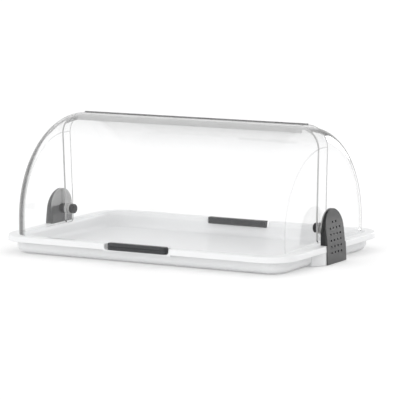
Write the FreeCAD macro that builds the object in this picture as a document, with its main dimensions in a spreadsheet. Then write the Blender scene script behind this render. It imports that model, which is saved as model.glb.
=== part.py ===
import FreeCAD, Part
import math
import os
import Sketcher
from types import SimpleNamespace

# Countertop bread display bin: a white tray with a clear roll-top hood of two nested leaves.
# The leaves turn on one axis along the length and roll past each other at the ridge.
# Frame: millimetres, X to the right along the length, Y to the back, Z up from the table.
# The origin lies on the table, under the middle of the tray.

# Lengths in millimetres that drive the model
LENGTHS = {
    # Tray
    "well_length": 532.0,
    "well_width": 328.0,
    "well_corner": 34.0,
    "well_bevel_depth": 8.0,
    "well_bevel_run": 3.0,
    "well_draft": 1.5,
    "well_floor_radius": 9.0,
    "end_ledge": 16.5,
    "side_ledge": 18.5,
    "rim_height": 33.0,
    "rim_corner": 50.0,
    "rim_plate": 3.5,
    "rim_edge_radius": 2.5,
    "skirt_height": 10.2,
    "skirt_wall": 3.0,
    "skirt_flare": 0.8,
    "skirt_overhang": 15.5,
    "pan_draft": 1.5,
    "pan_bottom_radius": 12.0,
    "floor_thickness": 4.0,
    # Feet
    "foot_diameter": 18.0,
    "foot_height": 3.0,
    "foot_stand": 1.0,
    "foot_inset_length": 57.0,
    "foot_inset_width": 47.0,
    "foot_chamfer": 0.8,
    # Hood leaves
    "hood_inset": 6.0,
    "hood_outset": 9.0,
    "hood_corner": 37.0,
    "leaf_wall": 3.0,
    "leaf_gap": 1.0,
    "axis_rise": 24.5,
    "end_draft": 3.5,
    "hub_flat_radius": 14.0,
    "edge_overlap": 13.0,
    "edge_corner": 6.0,
    "lip_depth": 6.0,
    "lip_thickness": 2.5,
    "bead_height": 1.2,
    "bead_width": 3.0,
    "rest_gap": 0.3,
    "tab_inset": 3.0,
    "tab_corner": 5.0,
    "tab_lift": 0.5,
    # Handles and the notches that they sit in
    "handle_half_length": 57.0,
    "handle_clearance": 0.5,
    "handle_height": 11.7,
    "handle_depth": 13.0,
    "handle_corner": 7.0,
    "handle_edge_radius": 1.6,
    "groove_margin": 9.0,
    "groove_height": 2.6,
    "groove_depth": 1.5,
    "brow_depth": 5.0,
    "brow_gap": 1.0,
    "grip_depth": 11.5,
    "grip_hollow_depth": 5.0,
    "grip_hollow_wall": 3.0,
    "notch_clearance": 6.5,
    "notch_corner": 5.0,
    "notch_sill": 2.4,
    "notch_wall": 3.0,
    "notch_inset": 15.0,
    # Handle screws
    "handle_screw_reach": 35.0,
    "handle_screw_diameter": 3.0,
    "handle_screw_head": 6.0,
    "handle_screw_head_height": 1.6,
    "grip_screw_head_height": 1.0,
    "handle_screw_length": 9.0,
    # Hinge towers of the tray
    "slot_wall": 3.0,
    "slot_floor": 5.0,
    "tower_recess": 0.8,
    "tower_margin": 3.5,
    "tower_flank": 22.0,
    "tower_corner": 3.0,
    # Hinge covers
    "cover_half_width": 31.0,
    "cover_rise": 4.0,
    "cover_wall": 2.5,
    "cover_proud": 1.5,
    "crown_radius": 455.0,
    "crown_stock": 1.0,
    "flange_step": 2.5,
    "flange_bottom": 1.0,
    "inner_wall": 2.0,
    "inner_wall_rise": 6.0,
    "spine_width": 4.5,
    "spine_depth": 1.0,
    "dot_diameter": 4.2,
    "dot_drop": 42.0,
    "dot_row_pitch": 10.2,
    "dot_pitch": 11.2,
    # Hinge brackets
    "plate_thickness": 4.0,
    "foot_plate_height": 4.0,
    "boss_diameter": 17.0,
    "tongue_width": 8.0,
    "tongue_thickness": 3.0,
    "tongue_height": 14.0,
    "gusset_thickness": 3.0,
    "gusset_height": 26.0,
    "screw_boss_diameter": 8.0,
    "screw_boss_height": 6.0,
    "bracket_screw_reach": 18.0,
    "bracket_screw_diameter": 4.0,
    "bracket_screw_head": 7.6,
    "bracket_screw_head_height": 1.6,
    # Pivots
    "bolt_diameter": 8.0,
    "bolt_head_diameter": 13.0,
    "bolt_head_height": 3.5,
    "bush_diameter": 12.0,
    "washer_diameter": 20.0,
    "washer_thickness": 1.5,
    "thin_washer_thickness": 0.4,
    "knob_diameter": 16.5,
    "knob_length": 7.7,
    "knob_edge_bevel": 1.0,
    "knob_flute_diameter": 2.4,
    "insert_diameter": 10.4,
    "insert_length": 5.8,
    "bolt_end_gap": 0.4,
    # Clearances
    "seat_gap": 0.3,
    "running_fit": 0.05,
    "screw_clearance": 0.15,
    "overrun": 5.0,
    # How closely a coordinate must match when an edge is picked
    "match_tolerance": 0.01,
}

# Angles in degrees, and counts
FULL_TURN = 360.0
HALF_TURN = 180.0
DOT_ROW_COUNT = 5
DOT_COLUMN_COUNT = 4
TOP_DOT_COUNT = 2
KNOB_FLUTE_COUNT = 12
BOLT_HEAD_SIDE_COUNT = 6

doc = FreeCAD.newDocument("bread_display_bin")
sheet = doc.addObject("Spreadsheet::Sheet", "sizes")


class Size:
    """A length with its value now and the formula that ties it to the sheet."""

    def __init__(self, value, formula):
        self.value = value
        self.formula = formula

    def __add__(self, other):
        return Size(self.value + other.value, f"({self.formula} + {other.formula})")

    def __sub__(self, other):
        return Size(self.value - other.value, f"({self.formula} - {other.formula})")

    def __neg__(self):
        return Size(-self.value, f"(0 - {self.formula})")

    def __mul__(self, factor):
        return Size(self.value * factor, f"({self.formula} * {factor})")

    def __truediv__(self, divisor):
        return Size(self.value / divisor, f"({self.formula} / {divisor})")

    def other_leg(self, leg):
        """The other leg of a right triangle whose long side is this length."""
        value = math.sqrt(self.value ** 2 - leg.value ** 2)
        return Size(value, f"sqrt({self.formula} ^ 2 - {leg.formula} ^ 2)")


ZERO = Size(0.0, "0")


def fill_sheet():
    """Write the lengths into the sheet, one row each, and hand them back as Sizes."""
    for row, (name, value) in enumerate(LENGTHS.items(), start=1):
        sheet.set(f"A{row}", name)
        sheet.set(f"B{row}", str(value))
        sheet.setAlias(f"B{row}", name)
    doc.recompute()
    return {name: Size(float(sheet.get(name)), f"sizes.{name}") for name in LENGTHS}


s = SimpleNamespace(**fill_sheet())

# Places that several pieces share
rim_length = s.well_length + s.end_ledge * 2
rim_width = s.well_width + s.side_ledge * 2
pan_length = rim_length - s.skirt_overhang * 2
pan_width = rim_width - s.skirt_overhang * 2
pan_corner = s.rim_corner - s.skirt_overhang
skirt_bottom = s.rim_height - s.skirt_height
channel_inset = s.skirt_wall + s.skirt_flare
hood_bottom = s.rim_height + s.rest_gap
axis_height = s.rim_height + s.axis_rise
front_radius = s.well_width / 2 + s.hood_outset
front_radius_inside = front_radius - s.leaf_wall
rear_radius = front_radius_inside - s.leaf_gap
rear_radius_inside = rear_radius - s.leaf_wall
front_end = s.well_length / 2 - s.hood_inset
rear_end = front_end - s.leaf_wall - s.leaf_gap
rear_corner = s.hood_corner - s.leaf_wall - s.leaf_gap
front_hub = front_end - s.end_draft
front_hub_inside = front_hub - s.leaf_wall
rear_hub = rear_end - s.end_draft
rear_hub_inside = rear_hub - s.leaf_wall
handle_bottom = skirt_bottom + s.handle_clearance
handle_top = handle_bottom + s.handle_height
tab_bottom = handle_bottom + s.tab_lift
tab_half_length = s.handle_half_length - s.tab_inset
handle_screw_height = (tab_bottom + hood_bottom) / 2
notch_half_length = s.handle_half_length + s.notch_clearance
slot_face = s.well_length / 2 + s.slot_wall
back_face = slot_face + s.seat_gap
tower_face = rim_length / 2 - s.tower_recess
cover_face = rim_length / 2 + s.cover_proud
cover_spring = axis_height + s.cover_rise
cover_top = cover_spring + s.cover_half_width
inner_wall_bottom = axis_height + s.inner_wall_rise
bracket_screw_place = back_face + s.plate_thickness + s.screw_boss_diameter / 2 - s.seat_gap
boss_end = front_hub + s.seat_gap + s.washer_thickness
knob_washer_end = rear_hub_inside - s.seat_gap - s.washer_thickness
knob_face = knob_washer_end - s.seat_gap


def new_body(name, turn=0.0):
    """A body with its own placement: turned half round for the left side's copy."""
    body = doc.addObject("PartDesign::Body", name)
    body.Label = name
    body.Placement = FreeCAD.Placement(FreeCAD.Vector(), FreeCAD.Rotation(FreeCAD.Vector(0, 0, 1), turn))
    return body


def new_sketch(body, name, plane, along=ZERO, up=ZERO):
    """A sketch on one of the body's own origin planes, moved along its normal and up in its plane."""
    sketch = body.newObject("Sketcher::SketchObject", name)
    support = [feature for feature in body.Origin.OriginFeatures if feature.Role == plane][0]
    sketch.AttachmentSupport = (support, "")
    sketch.MapMode = "FlatFace"
    sketch.AttachmentOffset = FreeCAD.Placement(FreeCAD.Vector(0, up.value, along.value), FreeCAD.Rotation())
    sketch.setExpression("AttachmentOffset.Base.y", up.formula)
    sketch.setExpression("AttachmentOffset.Base.z", along.formula)
    return sketch


def tie_point(sketch, geometry, point, across, upward):
    """Tie a sketch point to its two coordinates."""
    for kind, axis, size in (("DistanceX", -2, across), ("DistanceY", -1, upward)):
        if size is ZERO:
            sketch.addConstraint(Sketcher.Constraint("PointOnObject", geometry, point, axis))
        elif size.value < 0:
            index = sketch.addConstraint(Sketcher.Constraint(kind, geometry, point, -1, 1, -size.value))
            sketch.setExpression(f"Constraints[{index}]", (-size).formula)
        else:
            index = sketch.addConstraint(Sketcher.Constraint(kind, -1, 1, geometry, point, size.value))
            sketch.setExpression(f"Constraints[{index}]", size.formula)


def draw_outline(sketch, corners):
    """Draw a closed outline through corners (across, up), tied to the sheet.

    A corner with a third value starts an arc of that radius; its sign says which way
    the arc turns: plus to the left, minus to the right.
    """
    first = sketch.GeometryCount
    count = len(corners)
    starts = []
    for index, corner in enumerate(corners):
        following = corners[(index + 1) % count]
        start = FreeCAD.Vector(corner[0].value, corner[1].value, 0)
        end = FreeCAD.Vector(following[0].value, following[1].value, 0)
        if len(corner) == 2:
            sketch.addGeometry(Part.LineSegment(start, end))
            starts.append((1, 2))
            continue
        radius = abs(corner[2].value)
        turn = math.copysign(1.0, corner[2].value)
        chord = end - start
        middle = (start + end) * 0.5
        side = FreeCAD.Vector(-chord.y, chord.x, 0).normalize() * turn
        rise = math.sqrt(max(radius ** 2 - (chord.Length / 2) ** 2, 0))
        top = middle + side * rise - side * radius
        if turn > 0:
            sketch.addGeometry(Part.Arc(start, top, end))
            starts.append((1, 2))
        else:
            sketch.addGeometry(Part.Arc(end, top, start))
            starts.append((2, 1))
    for index, corner in enumerate(corners):
        following = (index + 1) % count
        sketch.addConstraint(Sketcher.Constraint(
            "Coincident", first + index, starts[index][1], first + following, starts[following][0]))
        tie_point(sketch, first + index, starts[index][0], corner[0], corner[1])
        if len(corner) == 3:
            radius = corner[2] if corner[2].value > 0 else -corner[2]
            number = sketch.addConstraint(Sketcher.Constraint("Radius", first + index, radius.value))
            sketch.setExpression(f"Constraints[{number}]", radius.formula)


def draw_circle(sketch, across, upward, diameter):
    """Draw a circle tied to its centre and diameter."""
    centre = FreeCAD.Vector(across.value, upward.value, 0)
    number = sketch.addGeometry(Part.Circle(centre, FreeCAD.Vector(0, 0, 1), diameter.value / 2))
    tie_point(sketch, number, 3, across, upward)
    index = sketch.addConstraint(Sketcher.Constraint("Diameter", number, diameter.value))
    sketch.setExpression(f"Constraints[{index}]", diameter.formula)


def box_corners(left, right, low, high):
    """The four corners of a rectangle."""
    return [(left, low), (right, low), (right, high), (left, high)]


def rounded_corners(half_length, half_width, radius):
    """The corners of a rectangle about the origin, each rounded by an arc."""
    flat = half_length - radius
    side = half_width - radius
    return [
        (-flat, -half_width),
        (flat, -half_width, radius),
        (half_length, -side),
        (half_length, side, radius),
        (flat, half_width),
        (-flat, half_width, radius),
        (-half_length, side),
        (-half_length, -side, radius),
    ]


def finish_feature(body, feature, profile):
    """Give a feature its profile and make it the body's last one."""
    feature.Profile = profile
    profile.Visibility = False
    body.Tip = feature


def pad(body, name, profile, length, backward=False, both_ways=False):
    feature = body.newObject("PartDesign::Pad", name)
    finish_feature(body, feature, profile)
    feature.Reversed = backward
    feature.SideType = "Symmetric" if both_ways else "One side"
    feature.setExpression("Length", length.formula)
    return feature


def pocket(body, name, profile, length=None, backward=False):
    """Cut a profile to a depth, or right through both ways when no depth is given."""
    feature = body.newObject("PartDesign::Pocket", name)
    finish_feature(body, feature, profile)
    feature.Reversed = backward
    if length is None:
        feature.SideType = "Symmetric"
        feature.setExpression("Length", (rim_length * 2).formula)
    else:
        feature.setExpression("Length", length.formula)
    return feature


def revolve(body, name, profile, angle, backward=False):
    """Turn a profile about the sketch's own horizontal axis."""
    feature = body.newObject("PartDesign::Revolution", name)
    finish_feature(body, feature, profile)
    feature.ReferenceAxis = (profile, ["H_Axis"])
    feature.Angle = angle
    feature.Reversed = backward
    return feature


def loft(body, name, kind, sections):
    """Join sections with flat sides: kind says whether the loft adds or cuts."""
    feature = body.newObject(kind, name)
    finish_feature(body, feature, sections[0])
    feature.Sections = [(section, [""]) for section in sections[1:]]
    feature.Ruled = True
    return feature


def round_edges(body, name, radius, wanted):
    """Fillet the edges of the last feature that the test picks."""
    doc.recompute()
    base = body.Tip
    picked = [f"Edge{number}" for number, edge in enumerate(base.Shape.Edges, start=1) if wanted(edge)]
    if not picked:
        raise ValueError(f"{body.Label}: no edge to round for {name}")
    feature = body.newObject("PartDesign::Fillet", name)
    feature.Base = (base, picked)
    body.Tip = feature
    feature.setExpression("Radius", radius.formula)
    return feature


def bevel_edges(body, name, width, wanted):
    """Chamfer the edges of the last feature that the test picks."""
    doc.recompute()
    base = body.Tip
    picked = [f"Edge{number}" for number, edge in enumerate(base.Shape.Edges, start=1) if wanted(edge)]
    if not picked:
        raise ValueError(f"{body.Label}: no edge to bevel for {name}")
    feature = body.newObject("PartDesign::Chamfer", name)
    feature.Base = (base, picked)
    body.Tip = feature
    feature.setExpression("Size", width.formula)
    return feature


def near(value, size):
    """Whether a coordinate lies at a size."""
    return abs(value - size.value) < s.match_tolerance.value


def lies_flat_at(edge, height):
    """Whether an edge lies in the level plane at a height."""
    return near(edge.BoundBox.ZMin, height) and near(edge.BoundBox.ZMax, height)


# Tray


def tray_section(body, name, height, length, width, corner):
    """One level outline of the tray."""
    sketch = new_sketch(body, name, "XY_Plane", along=height)
    draw_outline(sketch, rounded_corners(length / 2, width / 2, corner))
    return sketch


def make_pan(body):
    """The lower body, drafted inward to its rounded bottom."""
    bottom = tray_section(body, "pan_bottom", s.foot_stand, pan_length - s.pan_draft * 2,
                          pan_width - s.pan_draft * 2, pan_corner - s.pan_draft)
    top = tray_section(body, "pan_top", skirt_bottom, pan_length, pan_width, pan_corner)
    loft(body, "pan", "PartDesign::AdditiveLoft", [bottom, top])
    round_edges(body, "pan_bottom_round", s.pan_bottom_radius, lambda edge: lies_flat_at(edge, s.foot_stand))


def make_rim(body):
    """The rim with its flared skirt, hollow from below."""
    low = tray_section(body, "rim_low", skirt_bottom, rim_length, rim_width, s.rim_corner)
    high = tray_section(body, "rim_high", s.rim_height, rim_length - s.skirt_flare * 2,
                        rim_width - s.skirt_flare * 2, s.rim_corner - s.skirt_flare)
    loft(body, "rim", "PartDesign::AdditiveLoft", [low, high])
    round_edges(body, "rim_round", s.rim_edge_radius, lambda edge: lies_flat_at(edge, s.rim_height))
    channel = new_sketch(body, "channel_outline", "XY_Plane", along=skirt_bottom)
    draw_outline(channel, rounded_corners(rim_length / 2 - channel_inset, rim_width / 2 - channel_inset,
                                          s.rim_corner - channel_inset))
    draw_outline(channel, rounded_corners(pan_length / 2, pan_width / 2, pan_corner))
    pocket(body, "channel", channel, s.skirt_height - s.rim_plate, backward=True)


def make_towers(body):
    """The two hinge towers: solid blocks in the channel that taper back to the pan."""
    half = s.cover_half_width + s.flange_step + s.tower_margin
    foot = half + s.tower_flank
    inner = pan_length / 2 - s.pan_bottom_radius
    root = pan_length / 2
    for side, sign in (("right", 1), ("left", -1)):
        plan = new_sketch(body, f"{side}_tower_plan", "XY_Plane", along=s.foot_stand)
        draw_outline(plan, [
            (inner * sign, -foot),
            (root * sign, -foot),
            (tower_face * sign, -half),
            (tower_face * sign, half),
            (root * sign, foot),
            (inner * sign, foot),
        ])
        pad(body, f"{side}_tower", plan, s.rim_height - s.rim_plate - s.foot_stand)
    round_edges(body, "tower_rounds", s.tower_corner, lambda edge: (
        near(abs(edge.BoundBox.XMin), tower_face) and near(abs(edge.BoundBox.XMax), tower_face)
        and near(abs(edge.BoundBox.YMin), half) and near(abs(edge.BoundBox.YMax), half)
        and edge.BoundBox.ZLength > s.tower_corner.value))


def make_front_dip(body):
    """The block round the front notch: the notch leaves its walls, and a sill below the skirt."""
    block = new_sketch(body, "dip_plan", "XY_Plane", along=skirt_bottom - s.notch_sill)
    reach = notch_half_length + s.notch_wall
    front = rim_width / 2 - s.skirt_flare
    draw_outline(block, box_corners(-reach, reach, -front, s.skirt_wall - pan_width / 2))
    pad(body, "dip_block", block, s.skirt_height + s.notch_sill - s.rim_plate)


def make_well(body):
    """The well for one full-size tray: bevelled lip, drafted walls and a rounded floor."""
    break_height = s.rim_height - s.well_bevel_depth
    floor = s.foot_stand + s.floor_thickness
    break_length = s.well_length - s.well_bevel_run * 2
    break_width = s.well_width - s.well_bevel_run * 2
    break_corner = s.well_corner - s.well_bevel_run
    lip = tray_section(body, "well_lip", s.rim_height, s.well_length, s.well_width, s.well_corner)
    middle = tray_section(body, "well_break", break_height, break_length, break_width, break_corner)
    bottom = tray_section(body, "well_floor", floor, break_length - s.well_draft * 2,
                          break_width - s.well_draft * 2, break_corner - s.well_draft)
    loft(body, "well", "PartDesign::SubtractiveLoft", [lip, middle, bottom])
    round_edges(body, "well_floor_round", s.well_floor_radius, lambda edge: lies_flat_at(edge, floor))


def notch_corners(bottom):
    """A notch outline open at the top, with rounded lower corners."""
    half = notch_half_length
    flat = half - s.notch_corner
    top = s.rim_height + s.overrun
    return [
        (-half, top),
        (-half, bottom + s.notch_corner, s.notch_corner),
        (-flat, bottom),
        (flat, bottom, s.notch_corner),
        (half, bottom + s.notch_corner),
        (half, top),
    ]


def make_notches(body):
    """The front notch keeps a sill and its back wall; the rear one opens into the well."""
    edge = rim_width / 2
    front = new_sketch(body, "front_notch_outline", "XZ_Plane", along=edge + s.overrun)
    draw_outline(front, notch_corners(skirt_bottom))
    pocket(body, "front_notch", front, s.notch_inset + s.overrun)
    rear = new_sketch(body, "rear_notch_outline", "XZ_Plane", along=-(edge + s.overrun))
    draw_outline(rear, notch_corners(skirt_bottom))
    inner = rear_radius_inside - s.grip_depth - s.notch_wall * 2
    pocket(body, "rear_notch", rear, edge + s.overrun - inner, backward=True)


def make_hinge_slots(body):
    """The slots that take the hinge brackets, with screw holes through their floors."""
    half = s.cover_half_width + s.seat_gap
    relief = s.cover_half_width + s.flange_step + s.seat_gap
    outside = cover_face + s.overrun
    slots = new_sketch(body, "slot_plan", "XY_Plane", along=s.rim_height)
    reliefs = new_sketch(body, "relief_plan", "XY_Plane", along=s.rim_height)
    holes = new_sketch(body, "bracket_screw_holes", "XY_Plane", along=s.foot_stand)
    sinks = new_sketch(body, "bracket_screw_sinks", "XY_Plane", along=s.foot_stand)
    for sign in (1, -1):
        near_side, far_side = sorted((slot_face * sign, outside * sign), key=lambda size: size.value)
        draw_outline(slots, box_corners(near_side, far_side, -half, half))
        near_side, far_side = sorted((tower_face * sign, outside * sign), key=lambda size: size.value)
        draw_outline(reliefs, box_corners(near_side, far_side, -relief, relief))
        for reach in (s.bracket_screw_reach, -s.bracket_screw_reach):
            place = bracket_screw_place * sign
            draw_circle(holes, place, reach, s.bracket_screw_diameter + s.screw_clearance * 2)
            draw_circle(sinks, place, reach, s.bracket_screw_head + s.seat_gap * 2)
    pocket(body, "hinge_slots", slots, s.rim_height - s.slot_floor)
    pocket(body, "flange_reliefs", reliefs, s.rim_height)
    pocket(body, "screw_holes", holes, s.slot_floor, backward=True)
    pocket(body, "screw_sinks", sinks, s.bracket_screw_head_height + s.seat_gap, backward=True)


def foot_places():
    """Where the four feet stand."""
    reach = pan_length / 2 - s.foot_inset_length
    depth = pan_width / 2 - s.foot_inset_width
    return [(reach * x_sign, depth * y_sign) for x_sign in (1, -1) for y_sign in (1, -1)]


def make_foot_seats(body):
    """Round seats in the underside for the feet."""
    seats = new_sketch(body, "foot_seat_plan", "XY_Plane", along=s.foot_stand)
    for across, along in foot_places():
        draw_circle(seats, across, along, s.foot_diameter)
    pocket(body, "foot_seats", seats, s.foot_height - s.foot_stand, backward=True)


def base_tray():
    body = new_body("base_tray")
    make_pan(body)
    make_rim(body)
    make_towers(body)
    make_front_dip(body)
    make_well(body)
    make_notches(body)
    make_hinge_slots(body)
    make_foot_seats(body)
    return body


# Hood leaves


def shell_corners(end, radius, corner, low):
    """The C-shaped section of a leaf's wall: flat hubs, ends that flare a little, and the roll."""
    hub = end - s.end_draft
    inner_hub = hub - s.leaf_wall
    inner_end = end - s.leaf_wall
    inner_radius = radius - s.leaf_wall
    inner_corner = corner - s.leaf_wall
    return [
        (-hub, low),
        (-inner_hub, low),
        (-inner_hub, s.hub_flat_radius),
        (-inner_end, inner_radius - inner_corner, -inner_corner),
        (-(inner_end - inner_corner), inner_radius),
        (inner_end - inner_corner, inner_radius, -inner_corner),
        (inner_end, inner_radius - inner_corner),
        (inner_hub, s.hub_flat_radius),
        (inner_hub, low),
        (hub, low),
        (hub, s.hub_flat_radius),
        (end, radius - corner, corner),
        (end - corner, radius),
        (-(end - corner), radius, corner),
        (-end, radius - corner),
        (-hub, s.hub_flat_radius),
    ]


def mirrored(corners):
    """The same outline on the other side of the horizontal axis, walked the same way round."""
    return [(corner[0], -corner[1]) + tuple(-turn for turn in corner[2:]) for corner in corners]


def leaf_trim(body, name, sign):
    """Trim a leaf to its edge plane and its level bottom, with a rounded corner between."""
    far = rim_length
    edge = s.edge_overlap * sign
    corner = s.edge_corner
    trim = new_sketch(body, f"{name}_outline", "YZ_Plane")
    draw_outline(trim, [
        (edge, far),
        (edge, hood_bottom + corner, corner * -sign),
        (edge - corner * sign, hood_bottom),
        (-far * sign, hood_bottom),
        (-far * sign, -far),
        (far * sign, -far),
        (far * sign, far),
    ])
    pocket(body, name, trim)


def hub_holes(body):
    """The two holes of a leaf that turn on the bushes."""
    hubs = new_sketch(body, "hub_outline", "YZ_Plane", up=axis_height)
    draw_circle(hubs, ZERO, ZERO, s.bush_diameter + s.running_fit * 2)
    pocket(body, "hub_holes", hubs)


def front_hood():
    """The outer leaf: round above the axis, straight skirt below it, and a tab for the handle."""
    body = new_body("front_hood")
    section = new_sketch(body, "shell_section", "XY_Plane", along=axis_height)
    draw_outline(section, shell_corners(front_end, front_radius, s.hood_corner, ZERO))
    revolve(body, "shell", section, HALF_TURN)
    skirt = new_sketch(body, "skirt_section", "XY_Plane", along=axis_height)
    low = -(s.edge_overlap + s.overrun)
    draw_outline(skirt, mirrored(shell_corners(front_end, front_radius, s.hood_corner, low)))
    pad(body, "skirt", skirt, axis_height - hood_bottom + s.overrun, backward=True)
    leaf_trim(body, "trim", 1)
    bead = new_sketch(body, "bead_section", "YZ_Plane", up=axis_height)
    middle = front_radius - s.leaf_wall / 2
    edge = s.edge_overlap
    draw_outline(bead, box_corners(edge - s.bead_width, edge, middle, front_radius + s.bead_height))
    pad(body, "bead", bead, (front_end - s.hood_corner) * 2, both_ways=True)
    tab = new_sketch(body, "tab_outline", "XZ_Plane", along=front_radius)
    draw_outline(tab, tab_corners())
    pad(body, "tab", tab, s.leaf_wall, backward=True)
    holes = new_sketch(body, "tab_holes_outline", "XZ_Plane", along=front_radius + s.overrun)
    for reach in (s.handle_screw_reach, -s.handle_screw_reach):
        draw_circle(holes, reach, handle_screw_height, s.handle_screw_diameter + s.screw_clearance * 2)
    pocket(body, "tab_holes", holes, s.overrun * 2 + s.leaf_wall)
    hub_holes(body)
    return body


def tab_corners():
    """The outline of a handle tab that runs up into its leaf."""
    half = tab_half_length
    flat = half - s.tab_corner
    return [
        (-half, axis_height),
        (-half, tab_bottom + s.tab_corner, s.tab_corner),
        (-flat, tab_bottom),
        (flat, tab_bottom, s.tab_corner),
        (half, tab_bottom + s.tab_corner),
        (half, axis_height),
    ]


def rear_hood():
    """The inner leaf: round all the way down, so that it rolls under the outer one."""
    body = new_body("rear_hood")
    section = new_sketch(body, "shell_section", "XY_Plane", along=axis_height)
    draw_outline(section, shell_corners(rear_end, rear_radius, rear_corner, ZERO))
    revolve(body, "shell", section, FULL_TURN)
    leaf_trim(body, "trim", -1)
    lip = new_sketch(body, "lip_section", "YZ_Plane", up=axis_height)
    middle = rear_radius - s.leaf_wall / 2
    edge = s.edge_overlap
    draw_outline(lip, box_corners(-edge, s.lip_thickness - edge, rear_radius_inside - s.lip_depth, middle))
    pad(body, "lip", lip, (rear_end - rear_corner) * 2, both_ways=True)
    tab = new_sketch(body, "tab_section", "XY_Plane", along=axis_height)
    half = tab_half_length
    draw_outline(tab, box_corners(-half, half, rear_radius_inside, rear_radius))
    drop = axis_height - tab_bottom
    angle = math.degrees(math.asin(drop.value / rear_radius.value))
    feature = revolve(body, "tab", tab, angle, backward=True)
    feature.setExpression("Angle", f"asin({drop.formula} / {rear_radius.formula})")
    seat = rear_screw_seat()
    holes = new_sketch(body, "tab_holes_outline", "XZ_Plane", along=-(seat + s.overrun * 2))
    sinks = new_sketch(body, "tab_sinks_outline", "XZ_Plane", along=-(seat + s.overrun * 2))
    for reach in (s.handle_screw_reach, -s.handle_screw_reach):
        draw_circle(holes, reach, handle_screw_height, s.handle_screw_diameter + s.screw_clearance * 2)
        draw_circle(sinks, reach, handle_screw_height, s.handle_screw_head + s.screw_clearance * 2)
    pocket(body, "tab_holes", holes, s.overrun * 3 + s.leaf_wall, backward=True)
    pocket(body, "tab_sinks", sinks, s.overrun * 2, backward=True)
    hub_holes(body)
    return body


def rear_screw_seat():
    """How far back the heads of the rear grip's screws bear, sunk into the tab."""
    surface = rear_radius.other_leg(axis_height - handle_screw_height)
    return surface - s.grip_screw_head_height - s.seat_gap


# Handles


def front_handle():
    """The bar on the front tab: rounded ends, a sloping brow and a groove for the fingertips."""
    body = new_body("front_handle")
    plan = new_sketch(body, "bar_plan", "XY_Plane", along=handle_bottom)
    half = s.handle_half_length
    corner = s.handle_corner
    back = front_radius
    front = back + s.handle_depth
    draw_outline(plan, [
        (-half, -back),
        (-half, -(front - corner), corner),
        (-(half - corner), -front),
        (half - corner, -front, corner),
        (half, -(front - corner)),
        (half, -back),
    ])
    pad(body, "bar", plan, s.handle_height)
    middle = handle_bottom + s.handle_height / 2
    groove_top = middle + s.groove_height / 2
    brow = new_sketch(body, "brow_outline", "YZ_Plane")
    draw_outline(brow, [
        (-(front + s.overrun), groove_top + s.brow_gap),
        (-front, groove_top + s.brow_gap),
        (s.brow_depth - front, handle_top),
        (s.brow_depth - front, handle_top + s.overrun),
        (-(front + s.overrun), handle_top + s.overrun),
    ])
    pocket(body, "brow", brow)
    round_edges(body, "bar_rounds", s.handle_edge_radius, lambda edge: (
        edge.BoundBox.YMin < -(back + s.running_fit).value
        and (lies_flat_at(edge, handle_bottom) or lies_flat_at(edge, handle_top))))
    groove = new_sketch(body, "groove_outline", "XZ_Plane", along=front)
    reach = half - s.groove_margin
    draw_outline(groove, box_corners(-reach, reach, middle - s.groove_height / 2, groove_top))
    pocket(body, "groove", groove, s.groove_depth)
    pilots = new_sketch(body, "pilot_outline", "XZ_Plane", along=back)
    for reach in (s.handle_screw_reach, -s.handle_screw_reach):
        draw_circle(pilots, reach, handle_screw_height, s.handle_screw_diameter)
    pocket(body, "pilots", pilots, s.handle_screw_length, backward=True)
    return body


def rear_handle():
    """The grip inside the rear tab: its back follows the leaf and its underside is hollow."""
    body = new_body("rear_handle")
    profile = new_sketch(body, "grip_profile", "YZ_Plane", up=axis_height)
    low = handle_bottom - axis_height
    high = handle_top - axis_height
    front = rear_radius_inside - s.grip_depth
    corner = s.handle_edge_radius
    draw_outline(profile, [
        (front + corner, low),
        (rear_radius_inside.other_leg(-low), low, rear_radius_inside),
        (rear_radius_inside.other_leg(-high), high),
        (front + corner, high, corner),
        (front, high - corner),
        (front, low + corner, corner),
    ])
    pad(body, "grip", profile, s.handle_half_length * 2, both_ways=True)
    hollow = new_sketch(body, "hollow_plan", "XY_Plane", along=handle_bottom)
    reach = s.handle_screw_reach - s.handle_screw_head
    back = rear_radius_inside.other_leg(-low)
    draw_outline(hollow, box_corners(-reach, reach, front + s.grip_hollow_wall, back - s.grip_hollow_wall))
    pocket(body, "hollow", hollow, s.grip_hollow_depth, backward=True)
    pilots = new_sketch(body, "pilot_outline", "XZ_Plane", along=-(rear_screw_seat() + s.overrun))
    for reach in (s.handle_screw_reach, -s.handle_screw_reach):
        draw_circle(pilots, reach, handle_screw_height, s.handle_screw_diameter)
    pocket(body, "pilots", pilots, s.overrun + s.handle_screw_length, backward=True)
    return body


# Part primitives for turned pieces


def cylinder(name, start, direction, diameter, height):
    """A cylinder from a start point along a direction, tied to the sheet."""
    solid = doc.addObject("Part::Cylinder", name)
    turn = FreeCAD.Rotation(FreeCAD.Vector(0, 0, 1), FreeCAD.Vector(*direction))
    place = FreeCAD.Vector(*[size.value for size in start])
    solid.Placement = FreeCAD.Placement(place, turn)
    for axis, size in zip("xyz", start):
        solid.setExpression(f"Placement.Base.{axis}", size.formula)
    solid.setExpression("Radius", (diameter / 2).formula)
    solid.setExpression("Height", height.formula)
    return solid


def fused(name, base, tool):
    solid = doc.addObject("Part::Fuse", name)
    solid.Base = base
    solid.Tool = tool
    return solid


def group(name, solids):
    """Identical pieces kept together as one compound of separate solids."""
    compound = doc.addObject("Part::Compound", name)
    compound.Label = name
    compound.Links = solids
    return compound


def screw(name, seat, direction, diameter, length, head_diameter, head_height):
    """A round-headed screw: its head stands on the seat, its shank runs along the direction."""
    back = tuple(-component for component in direction)
    shank = cylinder(f"{name}_shank", seat, direction, diameter, length)
    head = cylinder(f"{name}_head", seat, back, head_diameter, head_height)
    return fused(name, shank, head)


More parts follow.
